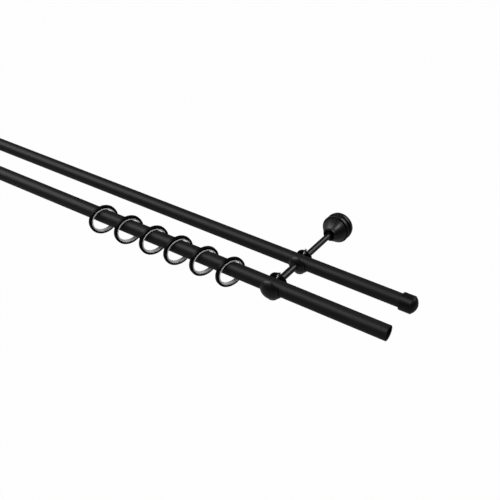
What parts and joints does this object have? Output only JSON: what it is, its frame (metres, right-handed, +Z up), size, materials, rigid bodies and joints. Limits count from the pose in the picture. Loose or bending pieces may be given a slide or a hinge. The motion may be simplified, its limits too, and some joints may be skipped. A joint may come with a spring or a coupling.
{
  "type": "double curtain pole",
  "caption": "Double curtain pole: two parallel round poles in ball-shaped holders on stemmed wall brackets, with lined curtain rings that slide on the front pole.",
  "frame": {"origin": "on the wall plane, midway between the two wall plates, at the height of the bracket stems and pole axes", "axes": "+X along the poles towards the end shown in the picture, +Y into the wall, +Z up"},
  "size_m": [1.2144, 0.198, 0.0473],
  "materials": {
    "black_powder_coat": "matte black powder coat",
    "zinc_plate": "bright zinc plated steel",
    "bright_screw_steel": "bright zinc plated",
    "milky_liner_plastic": "satin milky moulded plastic"
  },
  "bodies": {
    "poles_and_brackets": {"front_pole": "black_powder_coat", "rear_pole": "black_powder_coat", "rear_cap_left": "black_powder_coat", "wall_plate_left": "zinc_plate", "rosette_left": "black_powder_coat", "rear_stem_left": "black_powder_coat", "rear_holder_left": "black_powder_coat", "front_stem_left": "black_powder_coat", "front_holder_left": "black_powder_coat", "rear_cap_right": "black_powder_coat", "wall_plate_right": "zinc_plate", "rosette_right": "black_powder_coat", "rear_stem_right": "black_powder_coat", "rear_holder_right": "black_powder_coat", "front_stem_right": "black_powder_coat", "front_holder_right": "black_powder_coat", "holder_set_screws": "bright_screw_steel", "rosette_set_screws": "bright_screw_steel"},
    "curtain_ring_1": {"ring_1": "black_powder_coat", "ring_1_liner": "milky_liner_plastic"},
    "curtain_ring_2": {"ring_2": "black_powder_coat", "ring_2_liner": "milky_liner_plastic"},
    "curtain_ring_3": {"ring_3": "black_powder_coat", "ring_3_liner": "milky_liner_plastic"},
    "curtain_ring_4": {"ring_4": "black_powder_coat", "ring_4_liner": "milky_liner_plastic"},
    "curtain_ring_5": {"ring_5": "black_powder_coat", "ring_5_liner": "milky_liner_plastic"},
    "curtain_ring_6": {"ring_6": "black_powder_coat", "ring_6_liner": "milky_liner_plastic"}
  },
  "joints": [
    {"name": "ring_1_slide", "type": "slide", "parent": "poles_and_brackets", "child": "curtain_ring_1", "axis": [1, 0, 0], "range_m": [-0.584, 0.04]},
    {"name": "ring_2_slide", "type": "slide", "parent": "poles_and_brackets", "child": "curtain_ring_2", "axis": [1, 0, 0], "range_m": [-0.04, 0.038]},
    {"name": "ring_3_slide", "type": "slide", "parent": "poles_and_brackets", "child": "curtain_ring_3", "axis": [1, 0, 0], "range_m": [-0.038, 0.0355]},
    {"name": "ring_4_slide", "type": "slide", "parent": "poles_and_brackets", "child": "curtain_ring_4", "axis": [1, 0, 0], "range_m": [-0.0355, 0.0365]},
    {"name": "ring_5_slide", "type": "slide", "parent": "poles_and_brackets", "child": "curtain_ring_5", "axis": [1, 0, 0], "range_m": [-0.0365, 0.0355]},
    {"name": "ring_6_slide", "type": "slide", "parent": "poles_and_brackets", "child": "curtain_ring_6", "axis": [1, 0, 0], "range_m": [-0.0355, 0.043]}
  ]
}
